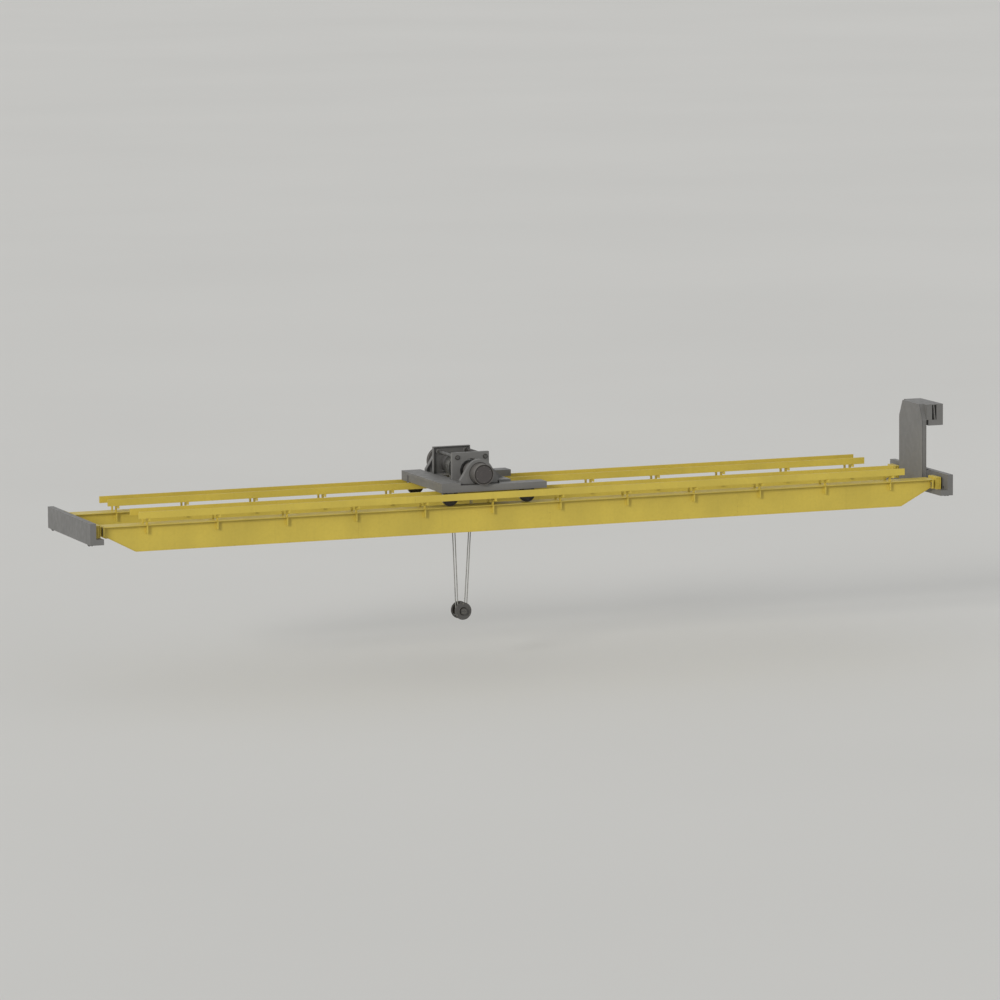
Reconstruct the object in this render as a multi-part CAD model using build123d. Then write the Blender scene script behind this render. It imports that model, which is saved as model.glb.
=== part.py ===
from build123d import *
import os
from math import acos, atan2, cos, hypot, pi, sin, tan

# Double girder overhead bridge crane, millimetres, +Z up.
# The origin lies on the flat underside of the left end truck, at the middle of its length.
# X runs along the bridge, Y along the runway.
# Every place along X is measured from the middle of the span, and put() moves it to the origin.

# Bridge
bridge_length = 22500
sheet = 10

# End trucks: an L-shaped section, a tall box outside and a low ledge inside
truck_length = 3464
truck_height = 520
truck_box_width = 147
ledge_width = 192
ledge_height = 134
truck_wheel_spread = 2960
truck_wheel_drop = 45
truck_wheel_radius = 225
truck_wheel_flange = 20
truck_wheel_tread_depth = 20
truck_wheel_width = 90
truck_hub_radius = 80
truck_hub_width = 108
truck_axle_radius = 32
truck_boss_radius = 60

# Girders
gauge = 2450
girder_half_box = 120
girder_flange_width = 500
girder_flange_thickness = 15
girder_bottom_thickness = 12
girder_bottom_lip = 10
girder_web_thickness = 8
girder_depth = 645
girder_rise = 252
girder_end_depth = 232
girder_taper_length = 787
girder_end_run = 22

# Girder ends: a plate across the girder, a short neck, and the block that stands on the ledge
end_plate_thickness = 35
end_neck_length = 68
block_gap = 56
block_plate = 20
block_half_width = 235
block_cheek_recess = 20
block_rise = 50
block_plate_count = 3

# Guard bars beside the trolley's wheels, and the brackets that carry them
bar_end_gap = 814
bar_offset = 337
bar_width = 50
bar_height = 163
bar_wall = 6
bar_rise = 170
bracket_count = 12
bracket_end_inset = 289.25
bracket_shift = 27
bracket_plate = 34
bracket_post_depth = 70
bracket_arm_height = 62
bracket_gusset = 45
bracket_overhang = 30
rib_depth = 95
rib_length = 200

# Mast on the right truck, its arm and the upper carriage
mast_width = 1384
mast_depth = 122
mast_height = 2042
mast_shoulder = 400
mast_taper = 200
mast_inset = 18
mast_plate = 12
mast_lap = 33
arm_length = 167
arm_neck_width = 980
arm_height = 393
arm_cover = 20
arm_brace = 25
arm_brace_head_inset = 33
arm_brace_foot_inset = 27
carriage_length = 1340
carriage_overhang = 215
carriage_box_width = 174
carriage_ledge_width = 222
carriage_ledge_height = 142

# Trolley frame
hoist_rest_x = -1195
beam_left_reach = 1050
beam_length = 2735
beam_width = 400
beam_height = 160
beam_lift = 345
trolley_wheel_reach = 770
trolley_wheel_base = 2000
trolley_wheel_radius = 213
trolley_wheel_width = 90
trolley_rim_depth = 30
trolley_web_width = 45
trolley_hub_radius = 70
trolley_hub_width = 104
trolley_axle_radius = 30
wheel_gap = 0.3
running_gap = 0.05
slot_gap = 25
hanger_plate = 14
hanger_width = 170
cross_recess = 25
left_cross_width = 470
right_cross_width = 400
right_cross_reach = 895
cap_thickness = 75
deck_thickness = 50
well_left_reach = 375
well_right_reach = 400
well_half_width = 602

# Hoist
frame_half_gap = 697
frame_edge = 90
frame_left_reach = 508
frame_right_reach = 456
frame_height = 670
frame_skin = 20
frame_opening_radius = 300
wing_reach = 370
wing_height = 320
wing_plate = 16
axis_height = 210
rod_radius = 38
rod_inset_left = 140
rod_inset_right = 100
rod_drop = 121
rod_nut_radius = 60
rod_nut_height = 34
pedestal_outset = 15
pedestal_plate = 25
pedestal_depth = 125
pedestal_lip = 20
pedestal_half_foot = 505
pedestal_foot_height = 108
pedestal_radius = 345
pedestal_base_thickness = 20
pedestal_slot_width = 36
pedestal_slot_height = 72
pedestal_slot_margin = 8
pedestal_groove_width = 15
pedestal_groove_depth = 12
motor_radius = 258
motor_length = 285
rear_cover_radius = 350
rear_cover_gap = 10
motor_rim = 15
motor_recess_radius = 214
motor_recess = 12
neck_radius = 200
neck_inset = 20

# Drum and ropes
drum_length = 1180
drum_wall = 16
rope_radius = 13
rope_circle = 275
rope_gap = 1
lead_offset = 90
turns_width = 260
drum_flange_radius = 350
drum_flange_thickness = 24
drum_end_inset = 30
shaft_radius = 55
shaft_engagement = 60
anchor_radius = 65
anchor_reach = 560
anchor_half_width = 82
anchor_margin = 25
anchor_height = 160
fixed_rope_offset = 50
fixed_rope_reach = 315

# Rope block
block_hang = 3540
block_shift = 43
sheave_circle = 110
sheave_rim_radius = 134
sheave_groove_half_top = 21
sheave_groove_half_foot = 14
sheave_width = 50
sheave_offset = 75
cheek_radius = 216
cheek_half_gap = 130
cheek_thickness = 20
hub_cap_radius = 108
hub_cap_height = 78
block_axle_radius = 35
collar_radius = 60
side_gap = 1
tie_pin_radius = 14
tie_pin_circle = 185
tie_pin_count = 3

# Levels above the underside of the trucks, and places that follow from the sizes above
half_length = bridge_length / 2
mid_x = half_length - (truck_box_width + ledge_width) / 2
ledge_inner_x = half_length - truck_box_width - ledge_width
girder_end_x = ledge_inner_x - end_neck_length - end_plate_thickness
girder_flat_half_length = girder_end_x - girder_end_run - girder_taper_length
bar_half_length = girder_end_x - bar_end_gap
bracket_pitch = 2 * (bar_half_length - bracket_end_inset) / (bracket_count - 1)
mast_front_x = ledge_inner_x - mast_lap
flange_top = ledge_height + girder_rise
flange_low = flange_top - girder_flange_thickness
girder_low = flange_top - girder_depth
girder_end_low = flange_top - girder_end_depth
bar_low = flange_top + bar_rise
bar_top = bar_low + bar_height
girder_centre_y = gauge / 2
beam_low = flange_top + beam_lift
beam_top = beam_low + beam_height
deck_top = beam_top + deck_thickness
axis_z = deck_top + axis_height
frame_left_x = hoist_rest_x - frame_left_reach
frame_right_x = hoist_rest_x + frame_right_reach
frame_top = deck_top + frame_height
rod_z = frame_top - rod_drop
beam_left_x = hoist_rest_x - beam_left_reach
beam_right_x = beam_left_x + beam_length
wheel_axle_z = flange_top + trolley_wheel_radius + wheel_gap
truck_axle_z = truck_wheel_radius - truck_wheel_drop
block_x = hoist_rest_x - block_shift
block_z = axis_z - block_hang
drum_body_radius = rope_circle - rope_radius - rope_gap
pedestal_face = girder_centre_y + pedestal_outset + pedestal_plate
fixed_rope_x = hoist_rest_x + fixed_rope_reach


def put(name, solids):
    """Write one piece, moved from the mid-span frame to the origin on the left truck."""
    group = solids if isinstance(solids, list) else [solids]
    moved = [solid.moved(Location((mid_x, 0, 0))) for piece in group for solid in piece.solids()]
    shape = moved[0] if len(moved) == 1 else Compound(children=moved)
    export_step(shape, f"parts/{name}.step")


def slab(x, y, z):
    """A box between two limits on each axis, given in either order."""
    low = [min(pair) for pair in (x, y, z)]
    size = [abs(pair[1] - pair[0]) for pair in (x, y, z)]
    return Box(*size, align=(Align.MIN, Align.MIN, Align.MIN)).moved(Location(low))


def prism_y(points, y):
    """A face drawn in X and Z, given thickness along Y between two limits."""
    face = make_face(Polyline(*[(px, y[0], pz) for px, pz in points], close=True))
    return extrude(face, amount=y[1] - y[0], dir=(0, 1, 0))


def prism_x(points, x):
    """A face drawn in Y and Z, given thickness along X between two limits."""
    face = make_face(Polyline(*[(x[0], py, pz) for py, pz in points], close=True))
    return extrude(face, amount=x[1] - x[0], dir=(1, 0, 0))


def round_y(radius, x, z, y):
    """A round bar along Y between two limits."""
    plane = Plane(origin=(x, y[0], z), z_dir=(0, 1, 0))
    return extrude(plane * Circle(radius), amount=y[1] - y[0])


def round_x(radius, y, z, x):
    """A round bar along X between two limits."""
    plane = Plane(origin=(x[0], y, z), z_dir=(1, 0, 0))
    return extrude(plane * Circle(radius), amount=x[1] - x[0])


def turned(points, centre, axis):
    """A body of revolution from points given as distance along the axis and radius."""
    plane = Plane(origin=centre, x_dir=axis, z_dir=(axis[1], -axis[0], 0))
    outline = make_face(plane * Polyline(*points, close=True))
    return revolve(outline, axis=Axis(centre, axis))


def both(y_centre, offset):
    """The two limits of a pair that lies on each side of a centre."""
    return (y_centre - offset, y_centre + offset)


def l_section(outer_x, inward, sizes, half):
    """A hollow box of L-shaped section along Y: a tall cell outside and a ledge cell inside."""
    box_width, ledge, height, ledge_top, base = sizes
    inner_x = outer_x + inward * box_width
    edge_x = inner_x + inward * ledge
    body = slab((outer_x, inner_x), (-half, half), (base, base + height))
    body += slab((inner_x, edge_x), (-half, half), (base, base + ledge_top))
    hollow = (-half + sheet, half - sheet)
    cell = (outer_x + inward * sheet, inner_x - inward * sheet)
    body -= slab(cell, hollow, (base + sheet, base + height - sheet))
    return body - slab((inner_x, edge_x - inward * sheet), hollow, (base + sheet, base + ledge_top - sheet))


def truck_wheel_places(side):
    """The centres of a truck's wheels."""
    x = side * (half_length - truck_box_width / 2)
    return [(x, y, truck_axle_z) for y in both(0, truck_wheel_spread / 2)]


def truck(side):
    """An end truck with a slot under each wheel, and an axle seat in its closed outer wall."""
    reach = truck_wheel_radius + slot_gap
    slot_half = (reach**2 - truck_axle_z**2) ** 0.5
    sizes = (truck_box_width, ledge_width, truck_height, ledge_height, 0)
    body = l_section(side * half_length, -side, sizes, truck_length / 2)
    wall = side * (truck_box_width / 2 - sheet)
    seat = side * (truck_hub_width / 2 + side_gap)
    inner = -side * (truck_box_width / 2 + sheet)
    for x, y, z in truck_wheel_places(side):
        body -= slab(both(x, truck_hub_width / 2), both(y, slot_half), (-sheet, 2 * sheet))
        body += round_x(truck_boss_radius, y, z, sorted((x + seat, x + wall)))
        body -= round_x(truck_axle_radius + running_gap, y, z, sorted((x + inner, x + wall)))
    return body


def truck_wheel(side, centre):
    """A double-flanged wheel with its hub, and its axle from the outer seat through the inner wall."""
    half = truck_wheel_width / 2
    tread = truck_wheel_radius - truck_wheel_tread_depth
    hub = truck_hub_width / 2
    inner_end = truck_box_width / 2
    outer_end = inner_end - sheet - side_gap
    flank = [
        (half - truck_wheel_flange, tread),
        (half - truck_wheel_flange, truck_wheel_radius),
        (half, truck_wheel_radius),
        (half, truck_hub_radius),
        (hub, truck_hub_radius),
        (hub, truck_axle_radius),
    ]
    outward = flank + [(outer_end, truck_axle_radius), (outer_end, 0)]
    inward = flank + [(inner_end, truck_axle_radius), (inner_end, 0)]
    mirrored = [(-along, radius) for along, radius in inward[::-1]]
    return turned(mirrored + outward, centre, (side, 0, 0))


def girder_line(drop, end_x):
    """The right half of a girder's lower outline, moved down by a distance across the plate."""
    angle = atan2(girder_depth - girder_end_depth, girder_taper_length)
    shift = drop * tan(angle / 2)
    flat = girder_flat_half_length + shift
    knee = girder_flat_half_length + girder_taper_length + shift
    low = girder_low + girder_bottom_thickness - drop
    high = flange_top - girder_end_depth + girder_bottom_thickness - drop
    return [(end_x, high), (knee, high), (flat, low)]


def girder_web(y):
    """One web plate of a box girder, from end block to end block."""
    half = girder_line(0, girder_end_x)
    mirrored = [(-x, z) for x, z in reversed(half)]
    top = [(-girder_end_x, flange_low), (girder_end_x, flange_low)]
    return prism_y(top + half + mirrored, y)


def girder_bottom(y_centre):
    """The bottom flange, bent to follow the tapered ends."""
    upper = girder_line(0, girder_end_x)
    lower = girder_line(girder_bottom_thickness, girder_end_x)
    over = [(-x, z) for x, z in upper] + upper[::-1]
    under = lower + [(-x, z) for x, z in lower[::-1]]
    half_width = girder_half_box + girder_bottom_lip
    return prism_y(over + under, both(y_centre, half_width))


def girder_top(y_centre):
    """The top flange, on which the trolley's wheels run."""
    half_width = girder_flange_width / 2
    return slab((-girder_end_x, girder_end_x), both(y_centre, half_width), (flange_low, flange_top))


def end_block(side, y_centre):
    """The end of a girder: a plate across it, a box neck, and the ribbed block on the truck's ledge."""
    plate_x = side * girder_end_x
    neck_x = plate_x + side * end_plate_thickness
    inner_x = side * ledge_inner_x
    block_length = ledge_width - block_gap
    outer_x = inner_x + side * block_length
    top = flange_top + block_rise
    span = both(y_centre, block_half_width)
    cap_low = top - block_plate
    sole_top = ledge_height + block_plate
    body = slab((inner_x, outer_x), span, (ledge_height, sole_top))
    body += slab((inner_x, outer_x), span, (cap_low, top))
    step = (block_length - block_plate) / (block_plate_count - 1)
    for index in range(block_plate_count):
        x = inner_x + side * index * step
        body += slab((x, x + side * block_plate), span, (sole_top, cap_low))
    for direction in (-1, 1):
        cheek = y_centre + direction * (block_half_width - block_cheek_recess)
        cheek_y = (cheek - direction * block_plate, cheek)
        body += slab((inner_x, outer_x), cheek_y, (sole_top, cap_low))
    neck = slab((neck_x, inner_x), both(y_centre, girder_half_box), (girder_end_low, flange_top))
    hollow_y = both(y_centre, girder_half_box - girder_web_thickness)
    hollow_z = (girder_end_low + girder_bottom_thickness, flange_low)
    neck -= slab((neck_x, inner_x), hollow_y, hollow_z)
    return body + neck + slab((plate_x, neck_x), span, (girder_end_low, flange_top))


def guard_bars(y_centre):
    """The two hollow bars beside a girder's wheel path, closed at their ends."""
    bars = []
    for y in both(y_centre, bar_offset):
        half = bar_width / 2
        bar = slab(both(0, bar_half_length), both(y, half), (bar_low, bar_top))
        levels = (bar_low + bar_wall, bar_top - bar_wall)
        bore = slab(both(0, bar_half_length - bar_wall), both(y, half - bar_wall), levels)
        bars.append(bar - bore)
    return bars


def bracket(x, y_centre, direction):
    """A post over the web with an arm out under the bar, and the rib below the flange."""
    root = girder_half_box
    post = root + bracket_post_depth
    arm_low = bar_low - bracket_arm_height
    tip = bar_offset + bar_width / 2 + bracket_overhang
    outline = [
        (root, flange_top),
        (post, flange_top),
        (post, arm_low - bracket_gusset),
        (post + bracket_gusset, arm_low),
        (tip, arm_low),
        (tip, bar_low),
        (root, bar_low),
    ]
    plate_x = both(x, bracket_plate / 2)
    upright = prism_x([(y_centre + direction * y, z) for y, z in outline], plate_x)
    rib_y = (y_centre + direction * root, y_centre + direction * (root + rib_depth))
    return [upright, slab(plate_x, rib_y, (flange_low - rib_length, flange_low))]


def bracket_row(y_centre, direction):
    """All the brackets on one side of one girder."""
    pieces = []
    for index in range(bracket_count):
        x = (index - (bracket_count - 1) / 2) * bracket_pitch - bracket_shift
        pieces += bracket(x, y_centre, direction)
    return pieces


def mast_outline(trim):
    """The mast seen along X: straight sides that taper in at the top."""
    half = mast_width / 2 - trim
    top = ledge_height + mast_height
    shoulder = top - mast_shoulder
    crown = half - mast_taper
    right = [(half, ledge_height), (half, shoulder), (crown, top)]
    return right + [(-y, z) for y, z in right[::-1]]


def mast():
    """A flat box column on the right ledge, with ribs back to the truck."""
    front = mast_front_x
    back = front + mast_depth
    body = prism_x(mast_outline(0), (front, front + mast_plate))
    body += prism_x(mast_outline(0), (back - mast_plate, back))
    core = (front + mast_plate, back - mast_plate)
    body += prism_x(mast_outline(mast_inset), core) - prism_x(mast_outline(mast_inset + mast_plate), core)
    top = ledge_height + mast_height
    crown = mast_width / 2 - mast_inset - mast_taper
    body += slab(core, both(0, crown), (top - mast_plate, top))
    rib_x = (back, half_length - truck_box_width)
    for y in (-mast_width / 2 + mast_inset, 0, mast_width / 2 - mast_inset):
        body += slab(rib_x, both(y, mast_plate / 2), (ledge_height, truck_height))
    return body


def arm_limits():
    """The faces between which the arm reaches along X, and its underside and top."""
    start = mast_front_x + mast_depth
    end = half_length + carriage_overhang - carriage_box_width
    top = ledge_height + mast_height
    return start, end, top - arm_height, top


def mast_arm():
    """The box arm from the mast: wide at the mast, with a narrower braced neck at the carriage."""
    start, end, low, top = arm_limits()
    face = start + arm_length
    half = carriage_length / 2
    neck = arm_neck_width / 2
    levels = (low + sheet, top - sheet)
    arm = slab((start, face), both(0, half), (low, top))
    arm += slab((face, end), both(0, neck), (low, top))
    arm += slab((face, end), both(0, half), (top - arm_cover, top))
    arm -= slab((start + sheet, face - sheet), both(0, half - sheet), levels)
    arm -= slab((face - sheet, end - sheet), both(0, neck - sheet), levels)
    head = face + arm_brace_head_inset
    foot = end - arm_brace_foot_inset
    brace = [
        (head, top - arm_cover),
        (head + arm_brace, top - arm_cover),
        (foot, low),
        (foot - arm_brace, low),
    ]
    for side in (-1, 1):
        arm += prism_y(brace, sorted((side * neck, side * half)))
    return arm


def upper_carriage():
    """The short carriage at the mast's head, with the same section as the trucks."""
    start, end, low, top = arm_limits()
    base = low - carriage_ledge_height
    sizes = (carriage_box_width, carriage_ledge_width, top - base, carriage_ledge_height, base)
    return l_section(half_length + carriage_overhang, -1, sizes, carriage_length / 2)


def trolley_wheel_x(index):
    """The place of a trolley wheel along the bridge."""
    return hoist_rest_x - trolley_wheel_reach + index * trolley_wheel_base


def side_beam(side):
    """A trolley side beam: a box with wheel slots, wheel hangers below and an axle hole in each."""
    y_centre = side * girder_centre_y
    half = beam_width / 2
    beam = slab((beam_left_x, beam_right_x), both(y_centre, half), (beam_low, beam_top))
    beam -= slab(
        (beam_left_x + sheet, beam_right_x - sheet),
        both(y_centre, half - sheet),
        (beam_low + sheet, beam_top - sheet),
    )
    reach = trolley_wheel_radius + slot_gap
    slot_half = (reach**2 - (beam_low - wheel_axle_z) ** 2) ** 0.5
    hanger_inner = trolley_hub_width / 2 + side_gap
    for index in range(2):
        x = trolley_wheel_x(index)
        through = (beam_low - sheet, beam_low + 2 * sheet)
        beam -= slab(both(x, slot_half), both(y_centre, hanger_inner), through)
        for direction in (-1, 1):
            near = y_centre + direction * hanger_inner
            far = near + direction * hanger_plate
            plate = slab(both(x, hanger_width / 2), (near, far), (wheel_axle_z, beam_top - sheet))
            plate += round_y(hanger_width / 2, x, wheel_axle_z, (min(near, far), max(near, far)))
            beam += plate
        hole = hanger_inner + hanger_plate + sheet
        beam -= round_y(trolley_axle_radius + running_gap, x, wheel_axle_z, both(y_centre, hole))
    return beam


def trolley_wheel(index, side):
    """A plain-tread wheel, dished between rim and hub, with its axle."""
    half = trolley_wheel_width / 2
    hub = trolley_hub_width / 2
    axle = hub + side_gap + hanger_plate
    rim = trolley_wheel_radius - trolley_rim_depth
    web = trolley_web_width / 2
    right = [
        (half, trolley_wheel_radius),
        (half, rim),
        (web, rim),
        (web, trolley_hub_radius),
        (hub, trolley_hub_radius),
        (hub, trolley_axle_radius),
        (axle, trolley_axle_radius),
        (axle, 0),
    ]
    left = [(-along, radius) for along, radius in reversed(right)]
    centre = (trolley_wheel_x(index), side * girder_centre_y, wheel_axle_z)
    return turned(left + right, centre, (0, 1, 0))


def inner_half_width():
    """Half the clear width between the trolley's side beams."""
    return girder_centre_y - beam_width / 2


def left_cross_beam():
    """The box that joins the side beams at the left, with the cap that lies over all of it."""
    left = beam_left_x + cross_recess
    right = left + left_cross_width
    half = inner_half_width()
    body = slab((left, right), both(0, half), (beam_low, beam_top))
    body += slab((beam_left_x, right), both(0, half + beam_width), (beam_top, beam_top + cap_thickness))
    levels = (beam_low + sheet, beam_top + cap_thickness - sheet)
    body -= slab((left + sheet, right - sheet), both(0, half - sheet), levels)
    return body


def right_cross_beam():
    """The box that joins the side beams at the right."""
    right = hoist_rest_x + right_cross_reach
    left = right - right_cross_width
    half = inner_half_width()
    body = slab((left, right), both(0, half), (beam_low, beam_top))
    body -= slab((left + sheet, right - sheet), both(0, half - sheet), (beam_low + sheet, beam_top - sheet))
    return body


def deck():
    """The plate that carries the hoist, open below the drum for the drum and its ropes."""
    left = beam_left_x + cross_recess + left_cross_width
    right = hoist_rest_x + right_cross_reach
    half = inner_half_width()
    plate = slab((left, right), both(0, half), (beam_top, deck_top))
    well = (hoist_rest_x - well_left_reach, hoist_rest_x + well_right_reach)
    plate -= slab(well, both(0, well_half_width), (beam_top - sheet, deck_top + sheet))
    return plate


def rod_places():
    """The two tie rods' places along X."""
    return (frame_left_x + rod_inset_left, frame_right_x - rod_inset_right)


def hoist_plate(side):
    """A hoist end plate: skin outside, return flanges inside, a round opening and a side wing."""
    outer = side * frame_half_gap
    skin = outer - side * frame_skin
    inner = outer - side * frame_edge
    sides = (frame_left_x, frame_right_x)
    body = slab(sides, (outer, inner), (deck_top, frame_top))
    pocket_x = (frame_left_x + frame_skin, frame_right_x - frame_skin)
    body -= slab(pocket_x, (skin, inner - side * sheet), (deck_top - sheet, frame_top - frame_skin))
    reach = (min(outer, inner) - sheet, max(outer, inner) + sheet)
    body -= round_y(frame_opening_radius, hoist_rest_x, axis_z, reach)
    for x in rod_places():
        body += round_y(rod_nut_radius, x, rod_z, (min(skin, inner), max(skin, inner)))
        body -= round_y(rod_radius + running_gap, x, rod_z, reach)
    wing = [
        (frame_right_x, deck_top),
        (frame_right_x + wing_reach, deck_top),
        (frame_right_x, deck_top + wing_height),
    ]
    wing_y = (outer, outer - side * wing_plate)
    body += prism_y(wing, (min(wing_y), max(wing_y)))
    return body


def tie_rods():
    """The two rods across the hoist frame, with a nut outside each plate."""
    rods = []
    for x in rod_places():
        end = frame_half_gap + rod_nut_height
        rod = round_y(rod_radius, x, rod_z, (-end, end))
        for side in (-1, 1):
            seat = side * frame_half_gap
            nut = (min(seat, side * end), max(seat, side * end))
            rod += round_y(rod_nut_radius, x, rod_z, nut)
        rods.append(rod)
    return rods


def pedestal_form(trim, base, y):
    """A pedestal's upright foot, leaning sides and round head, drawn smaller by a trim."""
    foot = pedestal_half_foot
    drop = beam_top + pedestal_foot_height - axis_z
    turn = atan2(drop, -foot) % (2 * pi) - acos(pedestal_radius / hypot(foot, drop))
    radius = pedestal_radius - trim
    touch_x = radius * cos(turn)
    touch_z = axis_z + radius * sin(turn)
    side_x = trim - foot
    shoulder_z = touch_z - (side_x - touch_x) / tan(turn)
    left = [(side_x, base), (side_x, shoulder_z), (touch_x, touch_z)]
    right = [(-x, z) for x, z in left[::-1]]
    body = prism_y([(hoist_rest_x + x, z) for x, z in left + right], y)
    disc = round_y(radius, hoist_rest_x, axis_z, y)
    disc -= slab(both(hoist_rest_x, foot), y, (base - pedestal_radius, base))
    return body + disc


def pedestal(side):
    """The plate that carries a hoist unit on a side beam, with a deep lip turned in around its edge."""
    face = side * pedestal_face
    back = face - side * pedestal_plate
    rim = face - side * pedestal_depth
    base = beam_top + pedestal_base_thickness
    body = pedestal_form(0, beam_top, sorted((face, rim)))
    body -= pedestal_form(pedestal_lip, base, sorted((back, rim - side * sheet)))
    through = sorted((face + side * sheet, back - side * sheet))
    body -= round_y(neck_radius, hoist_rest_x, axis_z, through)
    groove_y = sorted((face, face - side * pedestal_groove_depth))
    groove = round_y(motor_radius + pedestal_groove_width, hoist_rest_x, axis_z, groove_y)
    body -= groove - round_y(motor_radius, hoist_rest_x, axis_z, groove_y)
    slot_end = hoist_rest_x + pedestal_half_foot - pedestal_slot_margin
    slot_x = (slot_end - pedestal_slot_width, slot_end)
    return body - slab(slot_x, through, (beam_top, beam_top + pedestal_slot_height))


def hoist_unit(side):
    """A drive unit: the neck from the drum, and the round case outside its pedestal."""
    seat = pedestal_face
    end = seat + motor_length
    neck_end = drum_length / 2 + neck_inset
    bore = shaft_radius + running_gap
    wide = motor_radius
    step = []
    if side > 0:
        wide = rear_cover_radius
        step_y = girder_centre_y + beam_width / 2 + rear_cover_gap
        step = [(step_y, motor_radius), (step_y, wide)]
    half = [
        (neck_end, bore),
        (neck_end, neck_radius),
        (seat, neck_radius),
        (seat, motor_radius),
        *step,
        (end - motor_rim, wide),
        (end, wide - motor_rim),
        (end, motor_recess_radius),
        (end - motor_recess, motor_recess_radius),
        (end - motor_recess, 0),
        (neck_end + shaft_engagement + sheet, 0),
        (neck_end + shaft_engagement + sheet, bore),
    ]
    return turned(half, (hoist_rest_x, 0, axis_z), (0, side, 0))


def drum():
    """The rope drum: a shell with closed ends, a middle flange and a shaft at each end."""
    half = drum_length / 2
    inner = drum_body_radius - drum_wall
    tip = half + neck_inset + shaft_engagement
    wall = half - drum_end_inset
    flange = drum_flange_thickness / 2
    outer = [
        (tip, 0),
        (tip, shaft_radius),
        (half, shaft_radius),
        (half, drum_body_radius),
        (flange, drum_body_radius),
        (flange, drum_flange_radius),
    ]
    bore = [(-wall, 0), (-wall, inner), (wall, inner), (wall, 0)]
    mirrored = [(-along, radius) for along, radius in outer[::-1]]
    return turned(outer + mirrored + bore, (hoist_rest_x, 0, axis_z), (0, 1, 0))


def rope_turns():
    """The two lays of rope wound on the drum, one each side of its middle flange."""
    lays = []
    for side in (-1, 1):
        start = side * (lead_offset + rope_radius + side_gap)
        end = start + side * turns_width
        y = (min(start, end), max(start, end))
        lay = round_y(rope_circle + rope_radius, hoist_rest_x, axis_z, y)
        lays.append(lay - round_y(drum_body_radius, hoist_rest_x, axis_z, y))
    return lays


def rope(top, low):
    """A taut fall of rope with level ends."""
    ends = [Plane(origin=place) * Circle(rope_radius) for place in (low, top)]
    return loft(ends, ruled=True)


def drum_ropes():
    """The falls that the drum winds up."""
    top_x = hoist_rest_x - rope_circle
    low_x = block_x - sheave_circle
    falls = []
    for side in (-1, 1):
        top = (top_x, side * lead_offset, axis_z)
        low = (low_x, side * sheave_offset, block_z)
        falls.append(rope(top, low))
    return falls


def fixed_ropes():
    """The falls that end at the rope anchor."""
    low_x = block_x + sheave_circle
    falls = []
    for side in (-1, 1):
        top = (fixed_rope_x, side * fixed_rope_offset, rod_z - anchor_height / 2)
        low = (low_x, side * sheave_offset, block_z)
        falls.append(rope(top, low))
    return falls


def rope_anchor():
    """The sleeve round the right tie rod, with the block below it that holds the ropes' fixed ends."""
    rod_x = rod_places()[1]
    x = (fixed_rope_x - anchor_margin, rod_x + rod_radius + anchor_margin)
    reach = both(0, anchor_reach)
    body = round_y(anchor_radius, rod_x, rod_z, reach)
    body += slab(x, both(0, anchor_half_width), (rod_z - anchor_height / 2, rod_z))
    return body - round_y(rod_radius + running_gap, rod_x, rod_z, reach)


def rope_bights():
    """The half turns of rope under the two sheaves."""
    bights = []
    for side in (-1, 1):
        y = side * sheave_offset
        plane = Plane(origin=(block_x + sheave_circle, y, block_z))
        section = plane * Circle(rope_radius)
        spin = Axis((block_x, y, block_z), (0, 1, 0))
        bights.append(revolve(section, axis=spin, revolution_arc=180))
    return bights


def sheave(side):
    """A grooved rope sheave on the block's axle."""
    half = sheave_width / 2
    foot = sheave_circle - rope_radius - side_gap
    bore = block_axle_radius + running_gap
    outline = [
        (-half, bore),
        (half, bore),
        (half, sheave_rim_radius),
        (sheave_groove_half_top, sheave_rim_radius),
        (sheave_groove_half_foot, foot),
        (-sheave_groove_half_foot, foot),
        (-sheave_groove_half_top, sheave_rim_radius),
        (-half, sheave_rim_radius),
    ]
    return turned(outline, (block_x, side * sheave_offset, block_z), (0, 1, 0))


def rope_block():
    """The block's round cheeks, hub caps, axle and tie pins."""
    body = round_y(block_axle_radius, block_x, block_z, both(0, cheek_half_gap))
    for side in (-1, 1):
        faces = [side * cheek_half_gap, side * (cheek_half_gap + cheek_thickness)]
        body += round_y(cheek_radius, block_x, block_z, sorted(faces))
        cap = [faces[1], faces[1] + side * hub_cap_height]
        body += round_y(hub_cap_radius, block_x, block_z, sorted(cap))
        near = side * (sheave_offset + sheave_width / 2 + side_gap)
        body += round_y(collar_radius, block_x, block_z, sorted([near, faces[0]]))
    gap = sheave_offset - sheave_width / 2 - side_gap
    body += round_y(collar_radius, block_x, block_z, both(0, gap))
    for index in range(tie_pin_count):
        angle = pi / 2 + index * 2 * pi / tie_pin_count
        x = block_x + tie_pin_circle * cos(angle)
        z = block_z + tie_pin_circle * sin(angle)
        body += round_y(tie_pin_radius, x, z, both(0, cheek_half_gap))
    return body


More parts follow.
